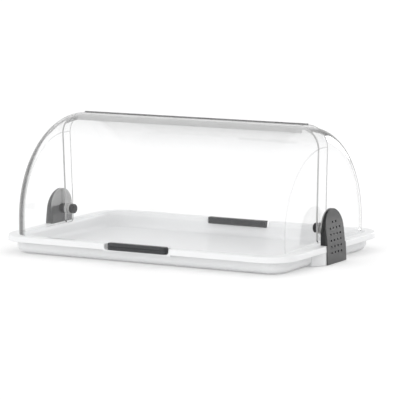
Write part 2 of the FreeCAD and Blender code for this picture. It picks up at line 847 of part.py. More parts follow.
def handle_screws(name, seat, direction, length, head_height):
    """Two screws side by side through a tab into its handle."""
    screws = []
    for side, reach in (("right", s.handle_screw_reach), ("left", -s.handle_screw_reach)):
        screws.append(screw(f"{name}_{side}", (reach, seat, handle_screw_height), direction,
                            s.handle_screw_diameter, length, s.handle_screw_head, head_height))
    return group(name, screws)


def rubber_feet():
    """Four round feet with a small bevel below, pressed into the seats of the tray."""
    feet = []
    for number, (across, along) in enumerate(foot_places(), start=1):
        upper = cylinder(f"foot_{number}_upper", (across, along, s.foot_chamfer), (0, 0, 1),
                         s.foot_diameter, s.foot_height - s.foot_chamfer)
        lower = doc.addObject("Part::Cone", f"foot_{number}_lower")
        lower.setExpression("Placement.Base.x", across.formula)
        lower.setExpression("Placement.Base.y", along.formula)
        lower.setExpression("Radius1", (s.foot_diameter / 2 - s.foot_chamfer).formula)
        lower.setExpression("Radius2", (s.foot_diameter / 2).formula)
        lower.setExpression("Height", s.foot_chamfer.formula)
        feet.append(fused(f"foot_{number}", upper, lower))
    return group("rubber_feet", feet)


# Hinges, drawn for the right side and turned half round for the left


def arch_corners(half_width, bottom):
    """An arch with straight sides and a half-round top, about the vertical axis."""
    return [
        (-half_width, bottom),
        (half_width, bottom),
        (half_width, cover_spring, half_width),
        (ZERO, cover_spring + half_width, half_width),
        (-half_width, cover_spring),
    ]


def crown_cut(body, radius, top):
    """Cut an arched block back to the crowned outer face, which leans in with height."""
    centre = cover_face - s.crown_radius
    low = -s.overrun
    outline = new_sketch(body, "crown_outline", "XZ_Plane")
    draw_outline(outline, [
        (centre + radius.other_leg(low), low, radius),
        (centre + radius.other_leg(top), top),
        (cover_face + s.overrun, top),
        (cover_face + s.overrun, low),
    ])
    pocket(body, "crown", outline)


def cover_core(side):
    """The hollow of a hinge cover, as a solid that is cut out of it."""
    body = new_body(f"{side}_cover_core")
    half_width = s.cover_half_width - s.cover_wall
    arch = new_sketch(body, "core_arch", "YZ_Plane", along=back_face - s.overrun)
    draw_outline(arch, arch_corners(half_width, -s.overrun))
    pad(body, "core_block", arch, cover_face - back_face + s.overrun)
    crown_cut(body, s.crown_radius - s.cover_wall, cover_top)
    return body


def cover_dots(body):
    """Rows of round holes through the crowned face: even rows and a short one above them."""
    dots = new_sketch(body, "dot_outline", "YZ_Plane", along=cover_face + s.overrun)
    rows = [(row, DOT_COLUMN_COUNT) for row in range(DOT_ROW_COUNT)] + [(DOT_ROW_COUNT, TOP_DOT_COUNT)]
    for row, count in rows:
        height = cover_spring - s.dot_drop + s.dot_row_pitch * row
        for place in range(count):
            across = s.dot_pitch * (place - (count - 1) / 2)
            draw_circle(dots, across, height, s.dot_diameter)
    reach = back_face + s.plate_thickness
    pocket(body, "dots", dots, cover_face + s.overrun - reach)


def hinge_cover(side, turn):
    """The arched cap over a hinge: crowned face, lower flange and an inner wall above the bracket."""
    body = new_body(f"{side}_hinge_cover", turn)
    blank_face = cover_face + s.crown_stock
    arch = new_sketch(body, "arch", "YZ_Plane", along=back_face)
    draw_outline(arch, arch_corners(s.cover_half_width, s.slot_floor + s.seat_gap))
    pad(body, "cap", arch, blank_face - back_face)
    flange = new_sketch(body, "flange_outline", "YZ_Plane", along=tower_face + s.seat_gap)
    half = s.cover_half_width + s.flange_step
    draw_outline(flange, box_corners(-half, half, s.flange_bottom, s.rim_height - s.seat_gap))
    pad(body, "flange", flange, blank_face - tower_face - s.seat_gap)
    crown_cut(body, s.crown_radius, cover_top + s.overrun)
    core = cover_core(side)
    doc.recompute()
    hollow = body.newObject("PartDesign::Boolean", "hollow")
    hollow.Type = "Cut"
    hollow.setObjects([core])
    body.Tip = hollow
    wall = new_sketch(body, "inner_wall_outline", "YZ_Plane", along=back_face)
    half_width = s.cover_half_width - s.cover_wall / 2
    low = inner_wall_bottom
    spring = half_width.other_leg(low - cover_spring)
    draw_outline(wall, [
        (-spring, low),
        (spring, low, half_width),
        (ZERO, cover_spring + half_width, half_width),
    ])
    pad(body, "inner_wall", wall, s.inner_wall)
    spine = new_sketch(body, "spine_outline", "YZ_Plane", along=back_face)
    draw_outline(spine, box_corners(-s.spine_width / 2, s.spine_width / 2, low - s.overrun,
                                    cover_top - s.cover_wall))
    pocket(body, "spine", spine, s.spine_depth, backward=True)
    cover_dots(body)
    return body


def hinge_bracket(side, turn):
    """The bracket in the slot: upright plate with boss and two tongues, foot and gusset."""
    body = new_body(f"{side}_hinge_bracket", turn)
    half = s.cover_half_width - s.cover_wall - s.seat_gap
    top = inner_wall_bottom - s.seat_gap
    plate = new_sketch(body, "plate_outline", "YZ_Plane", along=back_face)
    spring = half.other_leg(top - cover_spring)
    draw_outline(plate, [
        (-half, s.slot_floor),
        (half, s.slot_floor),
        (half, cover_spring, half),
        (spring, top),
        (-spring, top, half),
        (-half, cover_spring),
    ])
    pad(body, "plate", plate, s.plate_thickness)
    foot = new_sketch(body, "foot_outline", "YZ_Plane", along=back_face)
    draw_outline(foot, box_corners(-half, half, s.slot_floor, s.slot_floor + s.foot_plate_height))
    depth = cover_face - s.cover_wall - s.seat_gap * 2 - back_face
    pad(body, "foot", foot, depth)
    tongue = new_sketch(body, "tongues_outline", "YZ_Plane", along=back_face + s.inner_wall + s.seat_gap)
    width = s.tongue_width
    reach = s.bolt_head_diameter / 2 + s.tongue_thickness
    for left, right in ((-reach - width, -reach), (reach, reach + width)):
        draw_outline(tongue, box_corners(left, right, top - s.tongue_height, top + s.tongue_height))
    pad(body, "tongues", tongue, s.tongue_thickness)
    gusset = new_sketch(body, "gusset_outline", "XZ_Plane")
    face = back_face + s.plate_thickness
    base = s.slot_floor + s.foot_plate_height
    draw_outline(gusset, [
        (face, base),
        (back_face + depth - s.seat_gap, base),
        (face, base + s.gusset_height),
    ])
    pad(body, "gusset", gusset, s.gusset_thickness, both_ways=True)
    pillars = new_sketch(body, "pillar_outline", "XY_Plane", along=base)
    for reach in (s.bracket_screw_reach, -s.bracket_screw_reach):
        draw_circle(pillars, bracket_screw_place, reach, s.screw_boss_diameter)
    pad(body, "pillars", pillars, s.screw_boss_height)
    pilots = new_sketch(body, "pilot_outline", "XY_Plane", along=s.slot_floor)
    for reach in (s.bracket_screw_reach, -s.bracket_screw_reach):
        draw_circle(pilots, bracket_screw_place, reach, s.bracket_screw_diameter)
    pocket(body, "pilots", pilots, s.foot_plate_height + s.screw_boss_height - s.seat_gap * 2, backward=True)
    boss = new_sketch(body, "boss_outline", "YZ_Plane", along=back_face, up=axis_height)
    draw_circle(boss, ZERO, ZERO, s.boss_diameter)
    pad(body, "boss", boss, back_face - boss_end, backward=True)
    bore = new_sketch(body, "bore_outline", "YZ_Plane", up=axis_height)
    draw_circle(bore, ZERO, ZERO, s.bolt_diameter + s.running_fit * 2)
    pocket(body, "bore", bore)
    return body


def bracket_screws(side, turn):
    """Two screws from below through the slot floor into the bracket."""
    sign = math.cos(math.radians(turn))
    seat = s.foot_stand + s.bracket_screw_head_height + s.seat_gap
    length = s.slot_floor - seat + s.foot_plate_height + s.screw_boss_height / 2
    screws = []
    for end, reach in (("rear", s.bracket_screw_reach), ("front", -s.bracket_screw_reach)):
        screws.append(screw(f"{side}_bracket_screw_{end}", (bracket_screw_place * sign, reach, seat),
                            (0, 0, 1), s.bracket_screw_diameter, length,
                            s.bracket_screw_head, s.bracket_screw_head_height))
    return group(f"{side}_bracket_screws", screws)


def disc(body, name, start, end, diameter):
    """Pad a disc about the pivot axis between two places along it."""
    outline = new_sketch(body, f"{name}_outline", "YZ_Plane", along=start, up=axis_height)
    draw_circle(outline, ZERO, ZERO, diameter)
    pad(body, name, outline, end - start)


def ring(name, turn, start, end, diameter, bore_diameter):
    """A plain ring about the pivot axis."""
    body = new_body(name, turn)
    outline = new_sketch(body, "ring_outline", "YZ_Plane", along=start, up=axis_height)
    draw_circle(outline, ZERO, ZERO, diameter)
    draw_circle(outline, ZERO, ZERO, bore_diameter)
    pad(body, "ring", outline, end - start)
    return body


def pivot_bolt(side, turn):
    """The bolt from the bracket to the knob: six-sided head, plain shank and bevelled end."""
    body = new_body(f"{side}_pivot_bolt", turn)
    head_face = back_face + s.plate_thickness
    bolt_end = knob_face - s.insert_length + s.bolt_end_gap
    disc(body, "shank", bolt_end, head_face, s.bolt_diameter)
    head = new_sketch(body, "head_outline", "YZ_Plane", along=head_face, up=axis_height)
    half = s.bolt_head_diameter / 2
    reach = half / math.cos(math.pi / BOLT_HEAD_SIDE_COUNT)
    draw_outline(head, [
        (reach, ZERO),
        (reach / 2, half),
        (-reach / 2, half),
        (-reach, ZERO),
        (-reach / 2, -half),
        (reach / 2, -half),
    ])
    pad(body, "head", head, s.bolt_head_height)
    return body


def pivot_rings(side, turn):
    """The bush that the leaves turn on, and the washers that keep them apart."""
    bush_bore = s.bolt_diameter + s.running_fit * 2
    washer_bore = s.bush_diameter + s.running_fit * 2
    middle = (front_hub_inside + rear_hub) / 2
    half_thin = s.thin_washer_thickness / 2
    return [
        ring(f"{side}_pivot_bush", turn, knob_washer_end, boss_end, s.bush_diameter, bush_bore),
        ring(f"{side}_outer_washer", turn, boss_end - s.washer_thickness, boss_end,
             s.washer_diameter, washer_bore),
        ring(f"{side}_middle_washer", turn, middle - half_thin, middle + half_thin,
             s.washer_diameter, washer_bore),
        ring(f"{side}_inner_washer", turn, knob_washer_end, knob_washer_end + s.washer_thickness,
             s.washer_diameter, washer_bore),
    ]


def knob(side, turn):
    """The clamp knob: a fluted disc with a bevelled face and a blind hole for its insert."""
    body = new_body(f"{side}_knob", turn)
    disc(body, "disc", knob_face - s.knob_length, knob_face, s.knob_diameter)
    face = knob_face - s.knob_length
    bevel_edges(body, "face_bevel", s.knob_edge_bevel, lambda edge: (
        near(edge.BoundBox.XMin, face) and near(edge.BoundBox.XMax, face)))
    hole = new_sketch(body, "insert_hole_outline", "YZ_Plane", along=knob_face, up=axis_height)
    draw_circle(hole, ZERO, ZERO, s.insert_diameter)
    pocket(body, "insert_hole", hole, s.insert_length)
    flute = new_sketch(body, "flute_outline", "YZ_Plane", along=knob_face, up=axis_height)
    draw_circle(flute, ZERO, s.knob_diameter / 2 + s.knob_flute_diameter / 4, s.knob_flute_diameter)
    cut = pocket(body, "flute", flute, s.knob_length + s.overrun)
    flutes = body.newObject("PartDesign::PolarPattern", "flutes")
    flutes.Originals = [cut]
    flutes.Axis = (flute, ["N_Axis"])
    flutes.Angle = FULL_TURN
    flutes.Occurrences = KNOB_FLUTE_COUNT
    body.Tip = flutes
    return body


def knob_insert(side, turn):
    """The brass insert that takes the end of the bolt."""
    start = knob_face - s.insert_length
    return ring(f"{side}_knob_insert", turn, start, knob_face, s.insert_diameter,
                s.bolt_diameter + s.running_fit * 2)


def build_all():
    """Make every sub-part and give them back in order."""
    parts = [base_tray(), rubber_feet(), front_hood(), rear_hood(), front_handle(), rear_handle()]
    parts.append(handle_screws("front_handle_screws", -front_radius_inside, (0, -1, 0),
                               s.handle_screw_length, s.handle_screw_head_height))
    parts.append(handle_screws("rear_handle_screws", rear_screw_seat(), (0, -1, 0),
                               s.handle_screw_length, s.grip_screw_head_height))
    for side, turn in (("right", 0.0), ("left", HALF_TURN)):
        parts.append(hinge_cover(side, turn))
        parts.append(hinge_bracket(side, turn))
        parts.append(bracket_screws(side, turn))
        parts.append(pivot_bolt(side, turn))
        parts.extend(pivot_rings(side, turn))
        parts.append(knob(side, turn))
        parts.append(knob_insert(side, turn))
    doc.recompute()
    return parts


def check_model(parts):
    """Stop if a feature failed, a cut removed nothing, or a piece has no valid shape."""
    for item in doc.Objects:
        if "Invalid" in item.State or "Error" in item.State:
            raise RuntimeError(f"{item.Label} failed to build")
        if item.TypeId == "PartDesign::Pocket":
            if item.BaseFeature.Shape.Volume - item.Shape.Volume < s.running_fit.value:
                raise RuntimeError(f"{item.Label} cuts nothing")
    for part in parts:
        if part.Shape.isNull() or not part.Shape.isValid():
            raise RuntimeError(f"{part.Label} has no valid shape")


def export_all(parts):
    """Write each sub-part under its own name."""
    os.makedirs("parts", exist_ok=True)
    for part in parts:
        part.Shape.exportStep(os.path.join("parts", f"{part.Label}.step"))


all_parts = build_all()
check_model(all_parts)
export_all(all_parts)
print(f"{len(all_parts)} sub-parts written")
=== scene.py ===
import math
from typing import NamedTuple

import bmesh
import bpy
from bpy.props import FloatProperty, FloatVectorProperty, PointerProperty
from mathutils import Matrix, Vector

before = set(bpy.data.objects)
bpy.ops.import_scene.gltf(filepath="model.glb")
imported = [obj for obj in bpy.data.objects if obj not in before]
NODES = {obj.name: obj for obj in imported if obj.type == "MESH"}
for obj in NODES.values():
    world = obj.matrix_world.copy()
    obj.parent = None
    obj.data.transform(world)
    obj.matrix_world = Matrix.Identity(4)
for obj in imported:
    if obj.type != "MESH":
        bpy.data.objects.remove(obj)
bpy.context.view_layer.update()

# The finish of a countertop bread display bin: a white tray, two clear leaves, grey hinge
# covers and dark handles and knobs. Everything is in metres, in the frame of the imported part:
# X to the right along the length, Y to the back and Z up from the table, with the hood shut.

bl_info = {
    "name": "Bread Display Bin",
    "version": (1, 0, 0),
    "blender": (4, 5, 0),
    "location": "View3D > Sidebar > Bread Bin",
    "description": "Materials, light and camera for a countertop bread display bin",
    "category": "Object",
}

SIDES = ("right", "left")

# Places on the hood and the hinge covers. Reach is the distance from the hinge axis, beside
# is the distance from the middle of the length, and slope is 0 where a surface is seen face
# on and 1 where it is seen edge on. A pair says where a change starts and where it ends.
AXIS_HEIGHT = 0.0575
END_WALL_REACH = 0.136
BEND_WIDTH = 0.003
CORNER_BESIDE = (0.228, 0.238)
CORNER_HEIGHTS = (0.15, 0.225)
CORNER_SLOPE_WIDTH = 0.04
ROLL_SLOPES = (0.3, 0.95)
SEAM_REACH = END_WALL_REACH + 0.0005
SEAM_HALF_WIDTHS = (0.0006, 0.0012)
SEAM_BESIDE = (0.252, 0.254)
SAWN_EDGE_WIDTHS = (0.0001, 0.0003)
SAWN_RIDGE_HEIGHTS = (0.2, 0.215)
COVER_FACE_BESIDE = (0.2765, 0.28)
COVER_INSIDE_BESIDE = (0.2712, 0.2716)
COVER_INSIDE_HEIGHTS = (0.058, 0.066)

# How the plastics and metals look
BRACKET_COLOUR = (0.03, 0.03, 0.0315)
BUSH_COLOUR = (0.78, 0.78, 0.76)
WASHER_COLOUR = (0.86, 0.86, 0.85)
RUBBER_COLOUR = (0.035, 0.035, 0.036)
BRASS_COLOUR = (0.72, 0.52, 0.24)
STEEL_COLOUR = (0.56, 0.56, 0.55)
NOISE_MIDDLE = (0.3, 0.7)
HOOD_IOR = 1.36
HOOD_ROUGHNESS = (0.0, 0.012)
HOOD_GRAINS_PER_RIPPLE = 20.0
HOOD_RIPPLE_DEPTH_SHARE = 0.0015
SAWN_EDGE_ROUGHNESS = 0.5
SAWN_EDGE_OPACITY = 0.9
COVER_GLOSS = (0.35, 0.95)
DRIFT_GRAINS = 60.0
PLASTIC_ROUGHNESS_SPREAD = (-0.04, 0.05)
METAL_ROUGHNESS_SPREAD = (-0.06, 0.08)
METAL_COLOUR_CHANGE = 0.12
TURNED_EDGE = 0.0003
NYLON_IOR = 1.53
NYLON_CLOUD = 0.004
NYLON_COLOUR_CHANGE = 0.03
NYLON_ROUGHNESS = (0.28, 0.4)
NYLON_BUMP_DEPTH = 0.00002

# The stage
WHITE = (1.0, 1.0, 1.0)
BLACK = (0.0, 0.0, 0.0)
FLOOR_COLOUR = (0.985, 0.985, 0.985)
FLOOR_REACH = 40.0
FLOOR_DRIFT = 0.4
FLOOR_COLOUR_CHANGE = 0.002
PHOTO_WIDTH = 400.0
SENSOR_WIDTH = 36.0
CAMERA_SIGHT = 200.0


class LeafShade(NamedTuple):
    """Where one leaf of the hood is shaded, and how strongly, as shares from 0 to 1."""
    corner_reach: float  # where the shade of the corners starts
    side_slope: float  # slope from which the corners are shaded beside the hood
    ridge_slope: float  # the same under the ridge
    sawn_edge_place: float  # how far behind the middle the sawn edge lies
    # Along the ridge the sawn edge is darkened by painted shade
    shaded_ridge_paleness: float  # share of the sawn edge's paleness that is left along the ridge
    # Painted shade: a dark line on the seam between end wall and corner
    seam: float  # how dark the seam between end wall and corner is


FRONT_LEAF = LeafShade(
    corner_reach=0.152, side_slope=0.28, ridge_slope=0.76,
    sawn_edge_place=0.013, shaded_ridge_paleness=0.4, seam=0.25)
REAR_LEAF = LeafShade(
    corner_reach=0.138, side_slope=0.76, ridge_slope=0.57,
    sawn_edge_place=-0.013, shaded_ridge_paleness=1.0, seam=0.0)


# Settings that a user would change


class TrayLook(bpy.types.PropertyGroup):
    colour: FloatVectorProperty(
        name="Colour", description="Colour of the white plastic", subtype="COLOR",
        default=(0.75, 0.755, 0.76), min=0.0, max=1.0)
    roughness: FloatProperty(
        name="Roughness", description="How matt the tray is", default=0.34, min=0.0, max=1.0)
    grain: FloatProperty(
        name="Grain", description="Width of one grain of the moulded surface",
        default=0.0012, min=0.0002, max=0.01, subtype="DISTANCE", unit="LENGTH")


class HoodLook(bpy.types.PropertyGroup):
    colour: FloatVectorProperty(
        name="Colour", description="Colour of the light that the clear plastic lets through",
        subtype="COLOR", default=(0.998, 0.999, 1.0), min=0.0, max=1.0)
    # The corner and roll shades are painted shade where the sheet is seen edge on
    corner_shade: FloatProperty(
        name="Corner shade",
        description="How much light comes through the bent ends of the front leaf",
        default=0.075, min=0.0, max=1.0)
    rear_corner_shade: FloatProperty(
        name="Rear corner shade",
        description="How much light comes through the bent ends of the rear leaf",
        default=0.04, min=0.0, max=1.0)
    roll_shade: FloatProperty(
        name="Roll shade",
        description="How much light comes through the roll where it is seen edge on",
        default=0.46, min=0.0, max=1.0)
    sawn_edge: FloatProperty(
        name="Sawn edge", description="How pale the sawn edges of the leaves are",
        default=0.4, min=0.0, max=1.0)
    mirror: FloatProperty(
        name="Mirror", description="How much the plastic mirrors when seen face on",
        default=0.03, min=0.0, max=1.0)
    ripple: FloatProperty(
        name="Ripple", description="Distance between the faint waves of the drawn sheet",
        default=0.06, min=0.01, max=0.5, subtype="DISTANCE", unit="LENGTH")


class TrimLook(bpy.types.PropertyGroup):
    cover_colour: FloatVectorProperty(
        name="Cover colour", description="Colour of the hinge covers", subtype="COLOR",
        default=(0.014, 0.0144, 0.015), min=0.0, max=1.0)
    # Colour of the painted reflection on the upper part of the covers' inner walls
    painted_reflection_colour: FloatVectorProperty(
        name="Inner colour", description="Colour of the covers' inner walls", subtype="COLOR",
        default=(0.27, 0.27, 0.27), min=0.0, max=1.0)
    handle_colour: FloatVectorProperty(
        name="Handle colour", description="Colour of the handles", subtype="COLOR",
        default=(0.04, 0.0415, 0.044), min=0.0, max=1.0)
    knob_colour: FloatVectorProperty(
        name="Knob colour", description="Colour of the clamp knobs", subtype="COLOR",
        default=(0.02, 0.02, 0.0215), min=0.0, max=1.0)
    texture: FloatProperty(
        name="Texture", description="Width of one grain of the covers' fine texture",
        default=0.0011, min=0.0002, max=0.01, subtype="DISTANCE", unit="LENGTH")


class StageLook(bpy.types.PropertyGroup):
    camera_place: FloatVectorProperty(
        name="Camera place", description="Where the camera stands", subtype="TRANSLATION",
        unit="LENGTH", default=(2.4273, -4.0604, 0.7555))
    camera_turn: FloatProperty(
        name="Camera turn", description="How far the camera is turned about the vertical",
        default=math.radians(30.691), subtype="ANGLE", unit="ROTATION")
    camera_drop: FloatProperty(
        name="Camera drop", description="How far the camera looks down",
        default=math.radians(8.025), subtype="ANGLE", unit="ROTATION")
    camera_roll: FloatProperty(
        name="Camera roll", description="How far the camera leans about its own axis",
        default=math.radians(-0.474), subtype="ANGLE", unit="ROTATION")
    focal_pixels: FloatProperty(
        name="Focal length in pixels", description="Focal length for a picture 400 pixels wide",
        default=2766.1, min=100.0)
    sky: FloatProperty(
        name="Sky", description="Strength of the even light from all round",
        default=0.97, min=0.0, max=5.0)
    backdrop: FloatProperty(
        name="Backdrop", description="How far the camera sees the floor as a white backdrop",
        default=0.3, min=0.0, max=1.0)
    key: FloatProperty(
        name="Key light", description="Strength of the soft light from the front left",
        default=0.1, min=0.0, max=20.0)
    fill: FloatProperty(
        name="Side light", description="Strength of the soft light from the right",
        default=0.2, min=0.0, max=20.0)
    rim: FloatProperty(
        name="Rim light", description="Strength of the low soft light from the rear",
        default=1.0, min=0.0, max=20.0)
    low: FloatProperty(
        name="Low light", description="Strength of the level soft light from the front",
        default=1.05, min=0.0, max=20.0)


# Node helpers. Each returns the socket with its result.


def combine(tree, operation, first, second=0.0):
    """One step of arithmetic on sockets or numbers."""
    node = tree.nodes.new("ShaderNodeMath")
    node.operation = operation
    for socket, value in zip(node.inputs, (first, second)):
        if isinstance(value, (int, float)):
            socket.default_value = value
        else:
            tree.links.new(value, socket)
    return node.outputs[0]


def product(tree, first, *others):
    """The values multiplied together."""
    for other in others:
        first = combine(tree, "MULTIPLY", first, other)
    return first


def inverse(tree, share):
    """What the share leaves of one."""
    return combine(tree, "SUBTRACT", 1.0, share)


def distance(tree, value, place=0.0):
    """How far the value is from the place, either way."""
    return combine(tree, "ABSOLUTE", combine(tree, "SUBTRACT", value, place))


def ramp(tree, value, span, results=(0.0, 1.0), kind="LINEAR"):
    """Take the span to the results, and hold the value at both ends."""
    node = tree.nodes.new("ShaderNodeMapRange")
    node.interpolation_type = kind
    node.inputs["From Min"].default_value, node.inputs["From Max"].default_value = span
    node.inputs["To Min"].default_value, node.inputs["To Max"].default_value = results
    tree.links.new(value, node.inputs["Value"])
    return node.outputs["Result"]


def smooth_step(tree, value, span):
    """Zero before the span, one after it, and smooth between."""
    return ramp(tree, value, span, kind="SMOOTHSTEP")


def spread(tree, value, results):
    """Take the middle of a noise to the results."""
    return ramp(tree, value, NOISE_MIDDLE, results)


def noise(tree, vector, grain, detail=3.0, roughness=0.5):
    """A noise whose lumps are about one grain wide."""
    node = tree.nodes.new("ShaderNodeTexNoise")
    node.inputs["Scale"].default_value = 1.0 / grain
    node.inputs["Detail"].default_value = detail
    node.inputs["Roughness"].default_value = roughness
    tree.links.new(vector, node.inputs["Vector"])
    return node.outputs["Fac"]


def mix_colours(tree, share, first, second):
    """Blend two colours or colour sockets, from the first to the second with the share."""
    node = tree.nodes.new("ShaderNodeMix")
    node.data_type = "RGBA"
    for socket, colour in ((node.inputs["A"], first), (node.inputs["B"], second)):
        if isinstance(colour, tuple):
            socket.default_value = (*colour, 1.0)
        else:
            tree.links.new(colour, socket)
    tree.links.new(share, node.inputs["Factor"])
    return node.outputs["Result"]


def dimmed(colour, share):
    """The colour at a share of its strength, and no part of it over one."""
    return tuple(min(part * share, 1.0) for part in colour)


def varied_colour(tree, value, colour, change):
    """The colour, a little darker and a little lighter with the value."""
    return mix_colours(tree, value, dimmed(colour, 1.0 - change), dimmed(colour, 1.0 + change))


def bump(tree, height, depth, below=None):
    """Raise the surface by the height, on top of the normals below if there are any."""
    node = tree.nodes.new("ShaderNodeBump")
    node.inputs["Strength"].default_value = 1.0
    node.inputs["Distance"].default_value = depth
    tree.links.new(height, node.inputs["Height"])
    if below is not None:
        tree.links.new(below, node.inputs["Normal"])
    return node.outputs["Normal"]


def soft_edges(tree, radius):
    """Normals that round a moulded edge off by a small radius."""
    node = tree.nodes.new("ShaderNodeBevel")
    node.samples = 6
    node.inputs["Radius"].default_value = radius
    return node.outputs["Normal"]


def object_coordinates(tree):
    """The place on the piece in its own metres."""
    return tree.nodes.new("ShaderNodeTexCoord").outputs["Object"]


def place_parts(tree, place):
    """The X, Y and Z of a place."""
    node = tree.nodes.new("ShaderNodeSeparateXYZ")
    tree.links.new(place, node.inputs["Vector"])
    return node.outputs


def reach_of(tree, parts):
    """The distance of a place from the hinge axis."""
    above = combine(tree, "SUBTRACT", parts["Z"], AXIS_HEIGHT)
    squares = combine(tree, "ADD", product(tree, parts["Y"], parts["Y"]),
                      product(tree, above, above))
    return combine(tree, "SQRT", squares)


def slope_to_view(tree):
    """Zero where the surface is seen face on, and one where it is seen edge on."""
    node = tree.nodes.new("ShaderNodeLayerWeight")
    node.inputs["Blend"].default_value = 0.5
    return node.outputs["Facing"]


def sight_rays(tree):
    """One for what the camera sees, straight or by way of a mirror or clear plastic."""
    path = tree.nodes.new("ShaderNodeLightPath")
    bent = combine(tree, "MAXIMUM", path.outputs["Is Glossy Ray"],
                   path.outputs["Is Transmission Ray"])
    return combine(tree, "MAXIMUM", path.outputs["Is Camera Ray"], bent)


def shadow_and_diffuse_rays(tree):
    """One for the rays that bring light to a surface."""
    path = tree.nodes.new("ShaderNodeLightPath")
    return combine(tree, "MAXIMUM", path.outputs["Is Shadow Ray"],
                   path.outputs["Is Diffuse Ray"])


# Materials


def new_material(name):
    """A material with one Principled shader, its node tree and that shader."""
    material = bpy.data.materials.new(name)
    material.use_nodes = True
    tree = material.node_tree
    return material, tree, tree.nodes["Principled BSDF"]


def plastic(name, colour, roughness, grain, depth, change=0.04, edge=0.0004, gloss=0.5):
    """A moulded plastic: fine grain, slow colour drift and softened edges."""
    material, tree, shader = new_material(name)
    place = object_coordinates(tree)
    fine = noise(tree, place, grain)
    slow = spread(tree, noise(tree, place, grain * DRIFT_GRAINS, detail=2.0), (0.0, 1.0))
    range_of_roughness = [roughness + step for step in PLASTIC_ROUGHNESS_SPREAD]
    shader.inputs["Specular IOR Level"].default_value = gloss
    tree.links.new(varied_colour(tree, slow, colour, change), shader.inputs["Base Color"])
    tree.links.new(spread(tree, fine, range_of_roughness), shader.inputs["Roughness"])
    tree.links.new(bump(tree, fine, depth, soft_edges(tree, edge)), shader.inputs["Normal"])
    return material


def metal(name, colour, roughness, grain, depth):
    """A turned metal with fine scratches."""
    material, tree, shader = new_material(name)
    fine = noise(tree, object_coordinates(tree), grain, detail=6.0, roughness=0.65)
    range_of_roughness = [roughness + step for step in METAL_ROUGHNESS_SPREAD]
    edges = soft_edges(tree, TURNED_EDGE)
    shader.inputs["Metallic"].default_value = 1.0
    tree.links.new(varied_colour(tree, fine, colour, METAL_COLOUR_CHANGE),
                   shader.inputs["Base Color"])
    tree.links.new(spread(tree, fine, range_of_roughness), shader.inputs["Roughness"])
    tree.links.new(bump(tree, fine, depth, edges), shader.inputs["Normal"])
    return material


def nylon(name, colour, clearness):
    """Natural nylon: milky, and partly see-through."""
    material, tree, shader = new_material(name)
    cloud = noise(tree, object_coordinates(tree), NYLON_CLOUD)
    edges = soft_edges(tree, TURNED_EDGE)
    shader.inputs["Transmission Weight"].default_value = clearness
    shader.inputs["IOR"].default_value = NYLON_IOR
    tree.links.new(varied_colour(tree, cloud, colour, NYLON_COLOUR_CHANGE),
                   shader.inputs["Base Color"])
    tree.links.new(spread(tree, cloud, NYLON_ROUGHNESS), shader.inputs["Roughness"])
    tree.links.new(bump(tree, cloud, NYLON_BUMP_DEPTH, edges), shader.inputs["Normal"])
    return material


def corner_mask(tree, leaf, height, reach, slope):
    """The bent edge of a leaf where it is seen edge on."""
    outer = smooth_step(tree, reach, (leaf.corner_reach, leaf.corner_reach + BEND_WIDTH))
    rise = ramp(tree, height, CORNER_HEIGHTS, (0.0, leaf.ridge_slope - leaf.side_slope))
    steep = smooth_step(tree, combine(tree, "SUBTRACT", slope, rise),
                        (leaf.side_slope, leaf.side_slope + CORNER_SLOPE_WIDTH))
    return product(tree, outer, steep)


def roll_mask(tree, reach, slope):
    """The rolled wall of a leaf where it is seen edge on."""
    bent = smooth_step(tree, reach, (END_WALL_REACH, END_WALL_REACH + BEND_WIDTH))
    return product(tree, bent, smooth_step(tree, slope, ROLL_SLOPES))


def painted_seam_line(tree, leaf, beside, reach):
    """Painted shade: a thin dark line where an end wall turns into its corner."""
    line = inverse(tree, smooth_step(tree, distance(tree, reach, SEAM_REACH), SEAM_HALF_WIDTHS))
    return product(tree, line, smooth_step(tree, beside, SEAM_BESIDE), leaf.seam)


def clear_plastic(name, look, leaf, corner_shade):
    """Clear drawn sheet: shaded where it is seen edge on, frosted on its sawn edge."""
    material, tree, shader = new_material(name)
    place = object_coordinates(tree)
    parts = place_parts(tree, place)
    beside = distance(tree, parts["X"])
    reach = reach_of(tree, parts)
    slope = slope_to_view(tree)

    # Painted shade on the corners and the roll where they are seen edge on, and a painted dark
    # line on the seam
    ends = smooth_step(tree, beside, CORNER_BESIDE)
    roll = product(tree, roll_mask(tree, reach, slope), inverse(tree, ends))
    corner = product(tree, corner_mask(tree, leaf, parts["Z"], reach, slope), ends)
    seam = painted_seam_line(tree, leaf, beside, reach)
    clear = tuple(look.colour)
    tint = mix_colours(tree, roll, clear, dimmed(clear, look.roll_shade))
    tint = mix_colours(tree, corner, tint, dimmed(clear, corner_shade))
    tint = mix_colours(tree, seam, tint, BLACK)

    # Sawn edge
    off_edge = distance(tree, parts["Y"], leaf.sawn_edge_place)
    sawn = inverse(tree, smooth_step(tree, off_edge, SAWN_EDGE_WIDTHS))
    pale = dimmed(WHITE, look.sawn_edge)
    # Painted shade: the sawn edge is darker along the ridge
    pale = mix_colours(tree, smooth_step(tree, parts["Z"], SAWN_RIDGE_HEIGHTS),
                       pale, dimmed(pale, leaf.shaded_ridge_paleness))
    tree.links.new(mix_colours(tree, sawn, tint, pale), shader.inputs["Base Color"])
    tree.links.new(inverse(tree, product(tree, sawn, SAWN_EDGE_OPACITY)),
                   shader.inputs["Transmission Weight"])

    # Gloss and faint waves
    shader.inputs["IOR"].default_value = HOOD_IOR
    shader.inputs["Specular IOR Level"].default_value = look.mirror
    fine = noise(tree, place, look.ripple / HOOD_GRAINS_PER_RIPPLE)
    roughness = combine(tree, "ADD", spread(tree, fine, HOOD_ROUGHNESS),
                        product(tree, sawn, SAWN_EDGE_ROUGHNESS))
    tree.links.new(roughness, shader.inputs["Roughness"])
    wave = noise(tree, place, look.ripple, detail=1.0)
    tree.links.new(bump(tree, wave, look.ripple * HOOD_RIPPLE_DEPTH_SHARE),
                   shader.inputs["Normal"])

    # Light passes straight through to the tray, without the caustics that would be noise
    tree.links.new(inverse(tree, shadow_and_diffuse_rays(tree)), shader.inputs["Alpha"])
    return material


